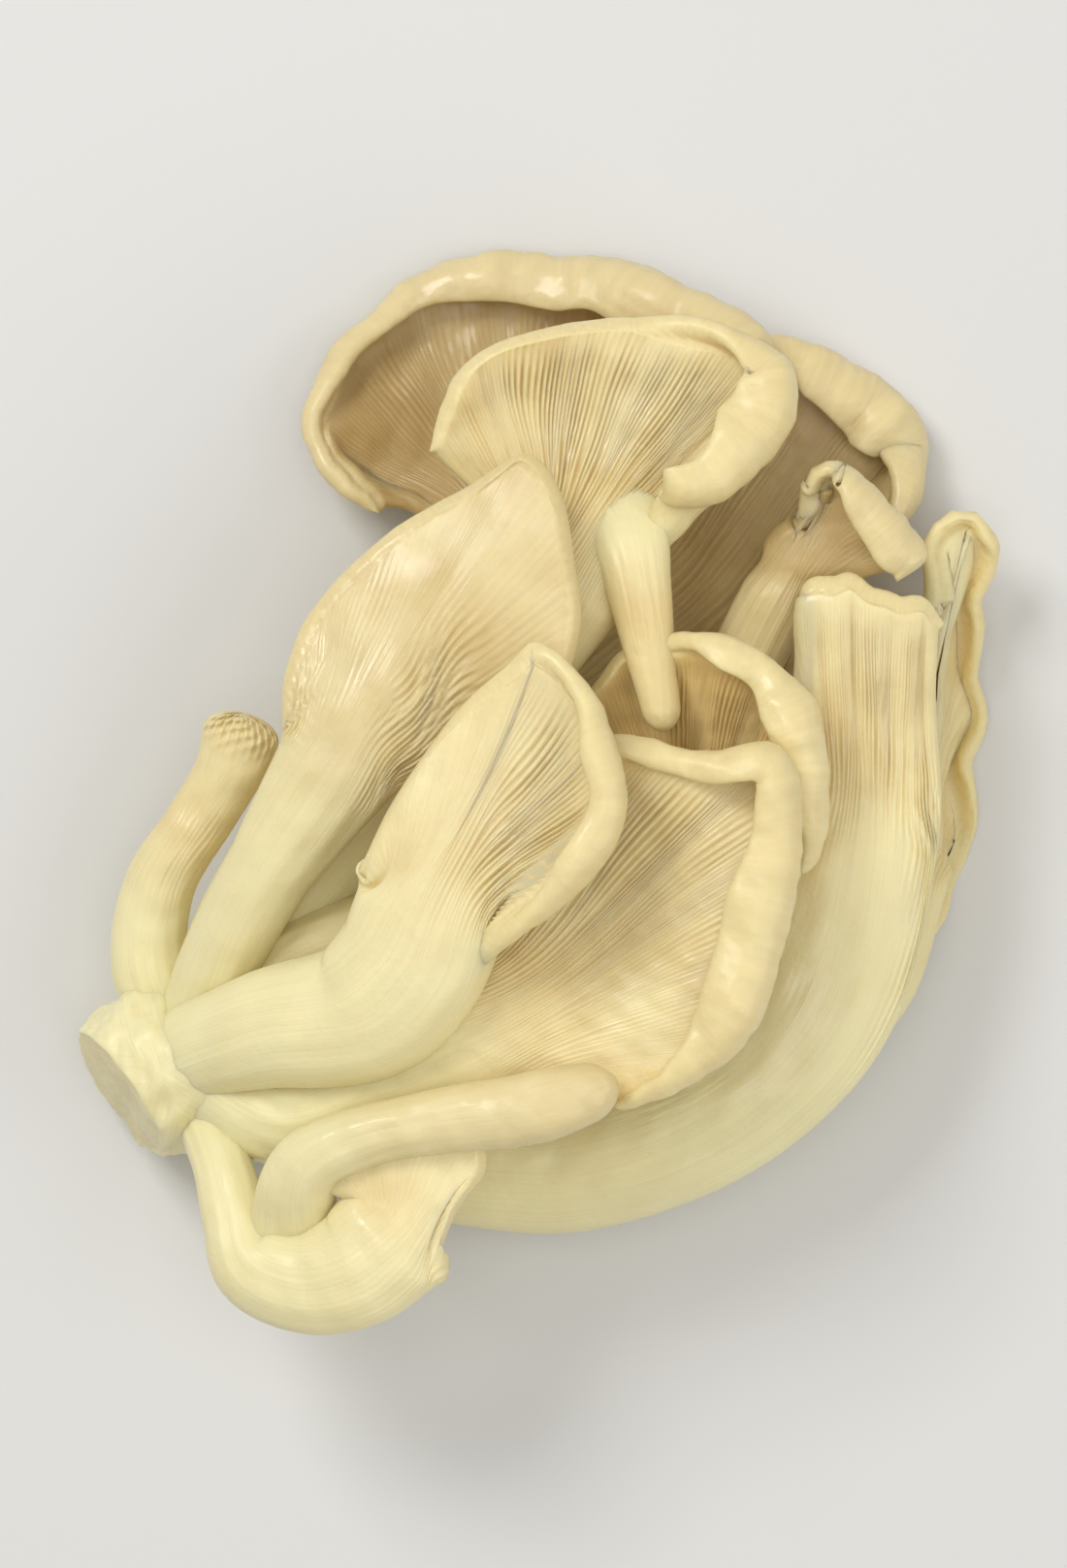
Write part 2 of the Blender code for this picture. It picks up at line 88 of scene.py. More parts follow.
def curve(points: Points, t: np.ndarray) -> np.ndarray:
    """Read a smooth line through points.

    Args:
        points: the points that the line passes through.
        t: places on it, from 0 to 1 by distance.

    Returns:
        One point for each place.
    """
    p = np.asarray(points, float)
    n = len(p)
    k = np.concatenate([[0.0], np.cumsum(np.linalg.norm(np.diff(p, axis=0), axis=1))])
    k /= k[-1]
    i = np.clip(np.searchsorted(k, t, side="right") - 1, 0, n - 2)
    before = np.maximum(np.arange(n) - 1, 0)
    after = np.minimum(np.arange(n) + 1, n - 1)
    m = (p[after] - p[before]) / (k[after] - k[before])[:, None]
    h = (k[i + 1] - k[i])[..., None]
    u = (t - k[i])[..., None] / h
    return ((2 * u**3 - 3 * u**2 + 1) * p[i] + (u**3 - 2 * u**2 + u) * h * m[i]
            + (-2 * u**3 + 3 * u**2) * p[i + 1] + (u**3 - u**2) * h * m[i + 1])


def slope(points: Points, t: np.ndarray) -> np.ndarray:
    """Give the direction of the same line at each place."""
    lo, hi = np.clip(t - 0.01, 0, 1), np.clip(t + 0.01, 0, 1)
    return unit(curve(points, hi) - curve(points, lo))


def ramp(values: Values, t: np.ndarray) -> np.ndarray:
    """Read evenly spaced values at t from 0 to 1."""
    if len(values) == 1:
        return np.full_like(t, float(values[0]))
    return np.interp(t, np.linspace(0, 1, len(values)), values)


def ease(x: np.ndarray, a: float, b: float) -> np.ndarray:
    """Step smoothly from 0 at a to 1 at b."""
    u = np.clip((x - a) / (b - a), 0, 1)
    return u * u * (3 - 2 * u)


def even(v: np.ndarray) -> np.ndarray:
    """Even out vectors along their first axis, so that they keep a steady direction."""
    reach = max(len(v) // 24, 1)
    for _ in range(2):
        padded = np.pad(v, ((reach, reach), (0, 0)), mode="edge")
        total = np.cumsum(np.pad(padded, ((1, 0), (0, 0))), axis=0)
        v = (total[2 * reach + 1:] - total[:-2 * reach - 1]) / (2 * reach + 1)
    return v


def along_finger(s: np.ndarray) -> np.ndarray:
    """Give places along a body without a cap, closer together at its tip."""
    return np.sin(s / 3 * pi / 2)


def rounded(t: np.ndarray) -> np.ndarray:
    """Give the share of its width that a body without a cap keeps at t."""
    return np.sqrt(np.maximum(1 - np.clip((t - TIP) / (1 - TIP), 0, 1)**2, 1e-4))


def lumps(p: np.ndarray, seed: int, size: float, pitch: float = 0.17) -> np.ndarray:
    """Soft unevenness of the flesh.

    Args:
        p: points in millimetres.
        seed: picks the pattern.
        size: height of the lumps in millimetres.
        pitch: waves in radians a millimetre.

    Returns:
        A height for each point.
    """
    rng = np.random.default_rng(seed)
    out = np.zeros(p.shape[:-1])
    for _ in range(5):
        k = rng.normal(size=3) * pitch
        out += np.sin(p @ k + rng.uniform(0, 2 * pi)) * size * 0.5
    return out


@dataclass(frozen=True)
class Mushroom:
    """One fruiting body: stem line, cap outline, flesh and gills."""

    name: str
    stem: Points                    # centre line of the stem, foot to throat
    widths: Values                  # half widths along the stem
    heights: Values                 # half thicknesses along the stem
    rim: Points = ()                # outer line of the cap; none for a body with a round tip
    roll: Values = (1.8,)           # radius of the rolled margin, left to right
    curl: Values = (60.0, 60.0)     # degrees of roll, left to right
    flap: Values = (0.0,)           # straight length after the roll, left to right
    flesh: float = 2.6              # thickness of the cap near the margin
    dish: Values = (2.0,)           # sag of the cap under the line to the rim
    lead: float = 0.35              # how far the cap follows the stem's direction
    reach: float = 0.45             # how far in the margin's direction is felt
    gills: int = 12                 # each one stands for FINE real gills
    depth: Values = (1.0, 1.0)      # strength of the gills, left to right
    start: float = 0.6              # row value where the gills begin
    wave: Values = (0.0, 3.0, 0.0)  # height, waves and phase along the rim
    ragged: Values = (0.0,)         # mm of tearing along the margin
    bends: int = 0                  # extra rows for a stem that bends a lot
    seed: int = 1
    scars: Points = ()              # torn patches: column, row, width, length, height in mm
    torn: float = 0.0               # roughness in mm of a torn tip

    gill_columns: int = 18          # columns of points for each gill of the table
    back_share: int = 3             # gill-side columns for each one on the back
    stem_rows: int = 34
    cap_rows: int = 52
    roll_rows: int = 26
    edge_power: float = 14.0        # how late the flesh thins towards the side edges

    def rows(self) -> np.ndarray:
        """Row values: stem 0 to 1, cap 1 to 2, rolled margin 2 to 3."""
        return np.concatenate([np.linspace(0, 1, self.stem_rows + 5 * self.bends, endpoint=False),
                               np.linspace(1, 2, self.cap_rows, endpoint=False),
                               2 + np.sin(np.linspace(0, pi / 2, self.roll_rows + 1))])

    def middle(self, c: np.ndarray, s: np.ndarray) -> np.ndarray:
        """Lay out the middle surface of the flesh.

        Args:
            c: columns, from -1 at the left edge to 1 at the right.
            s: rows, as given by rows().

        Returns:
            Points in millimetres, rows by columns.
        """
        if not self.rim:
            return self.finger(c, s)
        cc, ss = np.meshgrid(c, s)
        t = np.clip(s, 0, 1)
        spine, along = curve(self.stem, t), slope(self.stem, t)
        up = unit(np.array([0, 0, 1.0]) - along * along[:, 2:3])
        side = np.cross(along, up)
        blend = ease(ss, 0.75, 1.35)
        across = np.sin(cc * pi / 2) * (1 - blend) + cc * blend
        stem = spine[:, None] + side[:, None] * (across * ramp(self.widths, t)[:, None])[..., None]

        q = (c + 1) / 2
        rim, rim_dir = curve(self.rim, q), slope(self.rim, q)
        throat = curve(self.stem, np.ones(1))[0]
        ahead = slope(self.stem, np.ones(1))[0]
        t_up = unit(np.array([0, 0, 1.0]) - ahead * ahead[2])
        t_side = np.cross(ahead, t_up)
        root = throat + t_side * (across * self.widths[-1])[..., None]
        chord = rim - (throat + t_side * (c * self.widths[-1])[:, None])
        length = np.linalg.norm(chord, axis=-1, keepdims=True)
        out = unit(even(np.cross(t_up, rim_dir)))
        face = unit(np.cross(rim_dir, out))
        curl = np.radians(ramp(self.curl, q))[:, None]
        roll = (ramp(self.roll, q) * (1 + UNEVEN * self.tears(q)))[:, None]
        end = rim - out * (roll * np.sin(np.minimum(curl, pi / 2)) + 0.4 * self.flesh)
        end = end - out * (ramp(self.ragged, q) * (0.8 + 0.8 * self.tears(q)))[:, None]
        u = np.clip(ss - 1, 0, 1)[..., None]
        k1 = root + ahead * (self.lead * length)
        k2 = end - chord * self.reach - face * ramp(self.dish, q)[:, None]
        cap = ((1 - u)**3 * root + 3 * (1 - u)**2 * u * k1
               + 3 * (1 - u) * u**2 * k2 + u**3 * end)
        high, count, phase = self.wave
        cap = cap + face * (high * u**2 * np.sin(count * pi * cc + phase)[..., None])
        mid = np.where((ss <= 1)[..., None], stem, cap)
        return self.rolled(mid, s, out, roll, curl, ramp(self.flap, q)[:, None])

    def finger(self, c: np.ndarray, s: np.ndarray) -> np.ndarray:
        """Lay out the middle surface of a body that ends in a round tip.

        Args:
            c: columns, from -1 to 1.
            s: rows, as given by rows().

        Returns:
            Points in millimetres, rows by columns.
        """
        t = along_finger(s)
        along = slope(self.stem, t)
        side = np.cross(along, unit(np.array([0, 0, 1.0]) - along * along[:, 2:3]))
        wide = (ramp(self.widths, t) * rounded(t))[:, None] * np.sin(c * pi / 2)
        return curve(self.stem, t)[:, None] + side[:, None] * wide[..., None]

    def tears(self, q: np.ndarray) -> np.ndarray:
        """Uneven cut of the margin, about -1 to 1, along it from 0 to 1."""
        rng = np.random.default_rng(self.seed + 100)
        tear = np.zeros(len(q))
        for k in range(4):
            tear += np.sin(q * (9 + 11 * k) + rng.uniform(0, 6.3)) / (1 + 0.4 * k)
        return tear

    def rolled(self, mid: np.ndarray, s: np.ndarray, out: np.ndarray, roll: np.ndarray,
               curl: np.ndarray, flap: np.ndarray) -> np.ndarray:
        """Roll the last rows in towards the gills.

        Args:
            mid: the middle surface, whose rolled rows are replaced.
            s: row values.
            out: direction away from the cap for each column.
            roll: radius of the roll for each column.
            curl: how far it turns, in radians, for each column.
            flap: straight length after the turn, for each column.

        Returns:
            The middle surface with its rolled margin.
        """
        last = int(np.searchsorted(s, 2.0))
        edge = mid[last]
        inward = unit(edge - mid[last - EDGE_ROWS]) + out
        along_rim = unit(np.gradient(edge, axis=0))
        normal = unit(even(np.cross(along_rim, inward)))
        ahead = unit(even(np.cross(normal, along_rim)))
        arc = roll * curl
        gone = (s[s > 2.0] - 2)[:, None, None] * (arc + flap)
        a = np.minimum(gone, arc) / roll
        rest = np.maximum(gone - arc, 0)
        mid[s > 2.0] = (edge + ahead * (roll * np.sin(a) + rest * np.cos(a))
                        + normal * (roll * (1 - np.cos(a)) + rest * np.sin(a)))
        return mid

    def half_thickness(self, cc: np.ndarray, ss: np.ndarray) -> np.ndarray:
        """Half the thickness of the flesh on the grid, before the gills."""
        if not self.rim:
            t = along_finger(ss)
            return ramp(self.heights, t) * rounded(t) * np.cos(cc * pi / 2)
        u = np.clip(ss - 1, 0, 1)
        thin = self.flesh / 2 + (self.heights[-1] - self.flesh / 2) * (1 - u)**2.5
        half = np.where(ss <= 1, ramp(self.heights, np.clip(ss, 0, 1)), thin)
        tip = np.clip(ss - 2, 0, 1)
        half = half * np.sqrt(np.maximum(1 - tip**6, 0)) * (1 - 0.25 * tip)
        blend = ease(ss, 0.75, 1.6)
        plate = np.sqrt(np.maximum(1 - np.abs(cc)**self.edge_power, 0))
        return half * (np.cos(cc * pi / 2) * (1 - blend) + plate * blend)

    def grooves(self, cc: np.ndarray, ss: np.ndarray, pitch: np.ndarray
                ) -> tuple[np.ndarray, np.ndarray]:
        """Depth of the gaps between the gills.

        Args:
            cc: column value of each point.
            ss: row value of each point.
            pitch: distance from gill to gill there, in millimetres.

        Returns:
            The depth in millimetres, and the same as 0 on an edge to 1 in a gap.
        """
        q = (cc + 1) / 2
        u = np.clip(ss - 1, 0, 1)
        gills = self.gills * FINE
        phase = (q * gills + 0.3 * np.sin(q * gills * 0.83 + self.seed)
                 + 0.22 * np.sin(4.1 * ss + 9 * q + self.seed)
                 + 0.12 * np.sin(11.0 * ss + 31 * q))
        main = (0.5 - 0.5 * np.cos(2 * pi * phase))**0.8
        short = 0.5 - 0.5 * np.cos(4 * pi * phase)
        late = ease(u + 0.12 * np.sin(q * gills * 2.1), 0.35, 0.7)
        uneven = (0.72 + 0.16 * np.sin(1.9 * np.floor(phase) + self.seed)
                  + 0.16 * np.sin(5 * ss + 23 * q + self.seed))
        gap = (main * (1 - late) + short * late) * uneven
        zone = (ease(ss, self.start, self.start + 0.6) * (1 - ease(ss, 1.86, 2.04))
                * (1 - np.abs(cc)**10))
        strength = zone * ramp(self.depth, q)
        local = np.minimum(DEEPEST, 0.95 * pitch * (1 - 0.35 * late))
        return gap * strength * local, gap * np.minimum(strength, 1)

    def creases(self, cc: np.ndarray, ss: np.ndarray) -> np.ndarray:
        """Lengthwise creases of the stem that run on into the back of the cap."""
        rng = np.random.default_rng(self.seed + 7)
        out = np.zeros_like(cc)
        for _ in range(7):
            f = rng.uniform(6, 26)
            out += (np.sin(f * cc + rng.uniform(0, 6.3) + rng.uniform(-2, 2) * ss)
                    * np.sin(rng.uniform(1.5, 5) * ss + rng.uniform(0, 6.3)) / (1 + f / 12))
        return out

    def tatters(self, cc: np.ndarray, ss: np.ndarray) -> np.ndarray:
        """Fibres that stand up where the skin is torn, and the rough end of a torn tip."""
        rough = (np.sin(7 * cc + 5 * ss) + 0.7 * np.sin(17 * cc - 31 * ss)
                 + 0.5 * np.sin(43 * cc + 3))
        out = self.torn * ease(ss, 2.0, 2.6) * rough
        for column, row, wide, long, high in self.scars:
            patch = np.exp(-((cc - column) / wide)**2 - ((ss - row) / long)**2)
            sway = 2.2 * np.sin(7 * ss + 5 * cc) + 1.3 * np.sin(17 * ss)
            strands = np.abs(np.sin(48 * cc + sway)) * np.abs(np.sin(9 * ss + 13 * cc + sway))
            out = out + high * patch * (strands + 0.4 * np.sin(110 * cc + 3 * sway) - 0.35)
        return out

    def skin(self) -> tuple[np.ndarray, np.ndarray, np.ndarray, np.ndarray]:
        """Work out the closed skin as one wrapped grid.

        Returns:
            Points in millimetres, their gill-gap value (the mask of the painted shade
            between the gills), their margin value and their row value, each rows by
            columns, with the gill side first.
        """
        s = self.rows()
        n = self.gills * self.gill_columns
        n += -n % self.back_share
        c = np.linspace(-1, 1, n + 1)
        mid = self.middle(c, s)
        cc, ss = np.meshgrid(c, s)
        across = np.gradient(mid, axis=1)
        normal = unit(np.cross(across, np.gradient(mid, axis=0)))
        flat = 1 - ease(ramp(self.curl, (c + 1) / 2), *FLAT_CURL)
        evened = unit(even(normal.reshape(len(s), -1)).reshape(normal.shape))
        normal = unit(normal + (evened - normal) * flat[:, None])
        pitch = np.linalg.norm(across, axis=-1) * n / (self.gills * FINE)
        half = self.half_thickness(cc, ss)
        cut, gap = self.grooves(cc, ss, pitch)
        edge = ease(ss, 1.9, 2.3)
        bump = (lumps(mid, self.seed, 0.45) + lumps(mid, self.seed + 1, 0.10, 0.8)
                + lumps(mid, self.seed + 2, 0.035, 2.6) * (0.4 + edge))
        lines = self.creases(cc, ss) * CREASE
        crease = lines * (1 - 0.8 * ease(ss, 1.0, 1.4)) * np.cos(cc * pi / 2)**0.5
        body = np.minimum(1, half)
        raised = crease + self.tatters(cc, ss)
        front = mid + normal * (half - cut * body + bump + raised * body)[..., None]
        back = mid + normal * (bump - half - (crease + lines) * body)[..., None]
        front[..., 2] = np.maximum(front[..., 2], FRONT_FLOOR)
        back[..., 2] = np.maximum(back[..., 2], BACK_FLOOR)
        share = self.back_share
        front[-1] = front[-1, (np.arange(n + 1) + share // 2) // share * share]
        back[:, 0], back[:, -1], back[-1] = front[:, 0], front[:, -1], front[-1]
        foot = np.mean([front[0], back[0]], axis=(0, 1))
        front[0] = back[0] = foot
        keep = slice(None, None, -self.back_share)
        tail = slice(1, None)
        wrap = [np.concatenate([a, b[:, keep][:, tail]], axis=1)
                for a, b in ((front, back), (gap, gap * 0), (edge, edge), (ss, ss))]
        return wrap[0] + SHIFT, wrap[1], wrap[2], wrap[3]

    def build(self) -> bpy.types.Object:
        """Model the fruiting body.

        Returns:
            The finished piece.
        """
        points, gap, edge, rows = self.skin()
        nr, nc = gap.shape
        bpy.ops.object.select_all(action="DESELECT")
        bpy.ops.mesh.primitive_grid_add(x_subdivisions=nc - 1, y_subdivisions=nr - 1, size=1)
        obj = bpy.context.object
        obj.name = obj.data.name = self.name
        mesh = obj.data
        flat = np.empty(len(mesh.vertices) * 3, np.float32)
        mesh.vertices.foreach_get("co", flat)
        flat = flat.reshape(-1, 3)
        ix = np.rint((flat[:, 0] + 0.5) * (nc - 1)).astype(int)
        iy = np.rint((flat[:, 1] + 0.5) * (nr - 1)).astype(int)
        mesh.vertices.foreach_set("co", (points[iy, ix] * MM).astype(np.float32).ravel())
        for name, grid in (("gap", gap), ("margin", edge), ("length", rows)):
            layer = mesh.attributes.new(name, "FLOAT", "POINT")
            layer.data.foreach_set("value", grid[iy, ix].astype(np.float32))
        self.close(obj)
        return obj

    def close(self, obj: bpy.types.Object) -> None:
        """Join the wrapped grid's seams and turn it outwards."""
        bpy.ops.object.mode_set(mode="EDIT")
        bpy.ops.mesh.select_all(action="SELECT")
        bpy.ops.mesh.remove_doubles(threshold=MERGE)
        bpy.ops.object.mode_set(mode="OBJECT")
        bm = bmesh.new()
        bm.from_mesh(obj.data)
        if bm.calc_volume(signed=True) < 0:
            bmesh.ops.reverse_faces(bm, faces=bm.faces)
        bm.to_mesh(obj.data)
        bm.free()
        obj.data.polygons.foreach_set("use_smooth", [True] * len(obj.data.polygons))


CLUSTER = (
    Mushroom("far_cap",
             stem=((-34, -27, 9), (-22, -6, 8), (-10, 10, 7), (-4, 20, 7)),
             widths=(5, 5, 7), heights=(4.5, 4, 3.5),
             rim=((-17, 25, 8), (-20.5, 28, 8), (-23.8, 35.8, 6), (-20.6, 43.5, 3),
                  (-14.6, 50.3, 0.6), (-6, 53.7, 0.4), (5.5, 54.6, 0.6), (15, 51.2, 4),
                  (22.5, 47.2, 8), (26.2, 43.6, 11)),
             roll=(1.6, 1.7, 2.0, 2.4, 2.4), curl=(60, 150, 170, 175, 175),
             flap=(0, 0.5, 1, 2.6, 3.4, 2), dish=(3,), gills=16,
             depth=(0.9, 0.35, 0.12, 0.25, 0.4), ragged=(0.4, 0.5, 0.3, 0.3), seed=3),
    Mushroom("upper_fan",
             stem=((-34, -27, 12), (-20, -8, 15), (-6, 8, 16), (2, 20, 18)),
             widths=(4.5, 4.5, 6, 8), heights=(4.5, 4, 4),
             rim=((-11, 33, 19.5), (-7.8, 41.2, 20), (-2.4, 44.9, 20), (9.7, 47.3, 19),
                  (20, 46, 19), (26.4, 41.5, 19), (26.8, 35.2, 20), (22.5, 29.2, 21),
                  (17, 26, 22), (13, 25.5, 22.5)),
             roll=(2.2, 2.4, 2.2, 2.4, 2.5, 1.9), curl=(20, 15, 25, 130, 165, 100),
             flap=(0, 0, 0, 1.8, 3.6, 1.0), flesh=2.8, dish=(3,), gills=18,
             depth=(0.8, 1.3, 1.4, 1.0, 0.3), start=0.9, seed=5),
    Mushroom("tongue",
             stem=((6.5, 31, 12), (8.3, 27.5, 17), (10, 23, 20.4), (11, 18, 22),
                   (12, 12, 22.8), (12.8, 8, 23), (13.4, 4.6, 23.2)),
             widths=(4.6, 4.8, 4.4, 3.4, 2.8, 2.2, 1.8), heights=(2, 2.4, 2.5, 2.3, 2.1, 1.7),
             gills=4, depth=(0.1,), seed=6),
    Mushroom("back_cap",
             stem=((-32, -28, 8), (-16, -14, 6), (0, 0, 6), (12, 10, 6)),
             widths=(5, 6, 12), heights=(4.5, 3.5, 3.2),
             rim=((20.5, 45.4, 5), (25.5, 46.3, 4), (30.6, 44.4, 2.8), (35.4, 41.6, 1.6),
                  (39.5, 37.8, 1.2), (41.3, 33, 1.4), (40.2, 27.8, 4), (37.6, 23.5, 6)),
             roll=(1.6, 2.2, 2.4, 2.2, 1.4), curl=(120, 165, 175, 165, 100),
             flap=(0.5, 3, 4, 3, 0.3), flesh=3.0, dish=(2,), gills=12,
             depth=(0.4, 0.4), seed=7),
    Mushroom("upright",
             stem=((-30, -30, 9), (-10, -15, 8), (10, -2, 9), (19.4, 8.1, 11), (25, 18, 14)),
             widths=(4, 4, 3.5, 3.9), heights=(4, 3.5, 3.2),
             rim=((25.5, 26, 16), (28, 31.5, 18), (31.5, 32, 18.5), (36, 28.5, 18.5),
                  (40.8, 23.6, 17.5)),
             roll=(1.6, 1.8, 2.0, 1.8), curl=(40, 105, 170, 175), flap=(0, 0.2, 1.6, 2),
             flesh=2.4, dish=(0.5,), reach=0.25, gills=7, depth=(0.15, 0.15), seed=8),
    Mushroom("side_edge",
             stem=((0, -38, 7), (20, -33, 6), (34, -22, 6), (38, -10, 6)),
             widths=(4, 4.5, 5), heights=(4, 3.5, 3),
             rim=((36.5, 10, 8), (40.4, 23.6, 10), (44, 28.2, 10), (47.4, 25.6, 9),
                  (48, 17.8, 6), (47, 11, 2), (47.4, 6, 0.5), (45.9, -1.6, 0.4),
                  (44.4, -9.7, 0.5), (41.8, -17, 4)),
             roll=(1.7, 1.7, 1.7, 1.7), curl=(30, 130, 140, 60), flesh=2.2, dish=(1,),
             gills=8, depth=(0.25, 0.25), wave=(0.35, 5.0, 0.0), ragged=(0.9,), seed=9),
    Mushroom("long_fan",
             stem=((-33, -30, 9), (-18, -37, 10), (0, -39.5, 11), (11, -37.2, 12.5),
                   (20.5, -32, 14), (27.5, -24.5, 15), (30.8, -16, 15.3), (32.6, -7, 15.5)),
             widths=(5, 5.2, 6.2, 7.1, 7.4, 7.9, 8.7, 8.4),
             heights=(5, 5, 5, 5, 5, 4.8, 4.4, 3.8),
             rim=((25, 16.5, 18.5), (26.6, 20.3, 19), (31.6, 21.1, 19.5), (35.6, 20.2, 19.5),
                  (40, 19.4, 19), (42.8, 16.5, 18.5)),
             roll=(1.7,), curl=(30, 50, 60, 40), flesh=2.8, dish=(0,), gills=13,
             depth=(0.5, 0.9, 1.1, 0.8), start=0.92, ragged=(0.5, 0.15, 0.3, 0.1), bends=6,
             seed=11, scars=((0.8, 1.1, 0.2, 0.25, 0.7), (-0.5, 0.62, 0.3, 0.05, 0.4))),
    Mushroom("inner_fan",
             stem=((-33, -28, 14), (-28, -20.5, 17), (-20, -16, 17), (-8, -15, 14),
                   (4, -15, 12.5), (13, -10.5, 14)),
             widths=(3.5, 3.6, 3.8, 4, 5, 6.5), heights=(3.5, 3.6, 3.8, 3.5, 3.5, 3.2),
             rim=((4.5, 9, 18.5), (8.5, 13.4, 20), (14, 15, 22.5), (19.4, 14.9, 24.5),
                  (25.1, 12.2, 25), (29.2, 6.5, 25), (30.1, -0.8, 24.5), (29.2, -9.7, 23)),
             roll=(2.0, 1.8, 1.9, 2.1, 1.9, 1.6), curl=(20, 20, 140, 165, 165, 90),
             flap=(0, 0, 1.2, 2, 1.2, 0), flesh=2.4, dish=(3,), gills=14, depth=(1.0, 1.2, 1.0),
             start=0.9, seed=13),
    Mushroom("lower_fan",
             stem=((-33, -30, 16), (-25, -33.5, 20), (-16.2, -31, 23), (-6.5, -26.7, 25)),
             widths=(5, 5.5, 6, 8), heights=(5, 5, 4.8, 4.4),
             rim=((-1, 1, 27), (4, 3.2, 28), (10, 4.6, 29), (17.8, 3.4, 29.5), (24.4, 2.6, 30),
                  (26.6, -5.5, 30), (24.8, -17, 30), (21.6, -26, 30), (15.4, -31.2, 29),
                  (8.5, -33.6, 28)),
             roll=(1.6, 1.8, 2.0, 2.4, 2.4, 1.7), curl=(60, 150, 150, 170, 170, 90),
             flap=(0, 1, 1.5, 3, 2.5, 0.3), flesh=2.8, dish=(2, 1, 0.5, 0.3), gills=16,
             depth=(1.0, 1.1, 0.8, 0.4, 0.25, 0.1), start=0.9, seed=17),
    Mushroom("mid_cap",
             stem=((-34, -27, 14), (-30.5, -17, 19), (-26, -9, 23), (-20, 0, 26)),
             widths=(4.5, 4.2, 4.4, 6), heights=(4, 4, 4, 3.6),
             rim=((-25.5, 4, 25), (-25.2, 10, 24.5), (-22.4, 17, 24), (-15, 24.6, 25),
                  (-7, 29.5, 26), (-0.5, 33.2, 27), (3.4, 29.5, 28), (5.2, 21.5, 28.5),
                  (5.4, 14, 28.5), (2.5, 6.5, 27.5), (-4.5, -0.5, 26.5)),
             roll=(2.0, 2.2, 2.4, 2.2, 2.2), curl=(40, 45, 25, 35, 20), flesh=2.6,
             dish=(0, -1.5, -1.5, 0), gills=12, depth=(0.15, 0.08, 0.06, 0.1, 0.1), seed=19,
             scars=((-0.9, 1.6, 0.16, 0.35, 0.7), (0.35, 1.45, 0.22, 0.2, 0.6),
                    (0.7, 1.25, 0.2, 0.2, 0.5))),
    Mushroom("front_cap",
             stem=((-36, -28.5, 15), (-26, -25, 24), (-16.5, -23, 29), (-12, -18.5, 31.5),
                   (-10, -14, 32.5)),
             widths=(5, 5.4, 6.5, 7.5, 7.6), heights=(5, 5.2, 5.4, 5.2, 4.6),
             rim=((-18, -9, 33.5), (-14.5, -2, 34), (-8.8, 6, 35), (-3, 11.8, 36),
                  (0.2, 14.3, 36.5), (4.2, 12.2, 37), (8, 5.5, 37), (9.9, -2.4, 37),
                  (6.5, -9.8, 36.5), (0, -16, 35), (-5, -20, 33)),
             roll=(2.4, 2.4, 1.9, 1.7, 1.8, 1.8), curl=(20, 15, 60, 160, 160, 15),
             flap=(0, 0, 0, 1.2, 1.2, 0), flesh=2.8, dish=(-1.5, -1.5, 1, 2, 1.5), gills=14,
             depth=(0, 0.05, 0.1, 0.9, 1.3, 1.0, 0.5), start=0.9, seed=23),
    Mushroom("small_stub",
             stem=((-35.5, -26, 11), (-38.6, -19, 12.5), (-37.6, -11, 14), (-33.4, -4.2, 15.5),
                   (-30.2, 1.2, 17), (-28.6, 6.4, 18.5)),
             widths=(4, 4.0, 3.7, 3.3, 3.4, 4.2), heights=(3.6, 3.4, 3.2, 3, 2.8, 2.4),
             gills=6, depth=(0.2,), seed=29, torn=0.45),
    Mushroom("folded_cap",
             stem=((-35, -30, 14), (-31.2, -38, 20.5), (-29.3, -44, 23), (-27.4, -48.6, 25),
                   (-22, -50, 26.5), (-17, -48.4, 28), (-14, -45.8, 28.5)),
             widths=(3, 2.9, 3, 3.6, 4.8, 5.8, 6.4), heights=(3, 3, 3, 3.6, 4, 4, 3.6),
             rim=((-25, -40, 28.5), (-20, -35.5, 29.5), (-12, -33.5, 30), (-5, -34, 30),
                  (-3.5, -38.5, 30), (-6.5, -43.5, 29.5), (-8.6, -49, 28.5)),
             roll=(2.0,), curl=(20, 20, 20, 20, 15, 10), flesh=2.6,
             dish=(0,), gills=9, depth=(0.03, 0.06, 0.12, 0.5), bends=5, seed=31),
    Mushroom("fold",
             stem=((-22.5, -47.5, 21), (-23.4, -43, 26), (-22, -38.2, 29.4), (-17, -35.6, 31),
                   (-8.9, -33.8, 32), (-0.6, -32.6, 32.8), (8.6, -30, 33)),
             widths=(5, 4.2, 3.2, 3.0, 3.4, 3.6, 2.6), heights=(2.4, 2.8, 3, 2.9, 3, 3, 2.3),
             gills=5, depth=(0,), seed=37),
)


